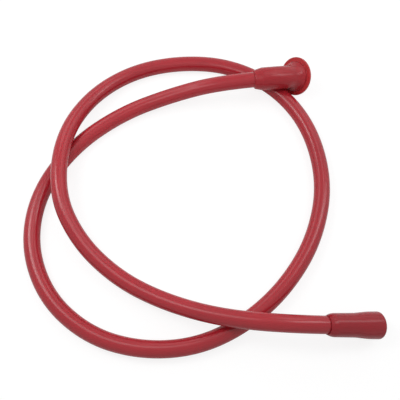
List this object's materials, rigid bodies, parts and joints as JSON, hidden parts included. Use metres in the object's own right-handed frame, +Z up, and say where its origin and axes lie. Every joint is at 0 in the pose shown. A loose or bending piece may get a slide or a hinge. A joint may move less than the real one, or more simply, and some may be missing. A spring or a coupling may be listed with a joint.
{
  "type": "siphon transfer hose with foot valve",
  "caption": "Soft red siphon hose lying in loose loops, with a flanged bent cuff at one end and a stepped cuff over a ball foot valve at the other.",
  "frame": {"origin": "on the table, under the middle of the box round the two end fittings", "axes": "+Z up from the table; +Y from the stepped foot towards the flanged cuff; +X towards the side where both fittings' mouths point"},
  "size_m": [0.3406, 0.3252, 0.0415],
  "materials": {
    "hose_rubber": "satin",
    "cuff_rubber": "satin",
    "seat_rubber": "matte",
    "valve_brass": "machined",
    "band_steel": "brushed",
    "pin_steel": "brushed",
    "ball_steel": "polished"
  },
  "bodies": {
    "body": {"hose": "hose_rubber", "flange_cuff": "cuff_rubber", "foot_cuff": "cuff_rubber", "crimp_band": "band_steel", "valve_body": "valve_brass", "stop_pin": "pin_steel", "seat_ring": "seat_rubber", "seat_bush": "valve_brass", "inlet_strainer": "pin_steel", "snap_ring": "band_steel"},
    "ball": {"valve_ball": "ball_steel"}
  },
  "joints": [
    {"name": "ball_lift", "type": "slide", "parent": "body", "child": "ball", "axis": [-0.9505, -0.0332, 0.309], "range_m": [0, 0.0044]}
  ]
}
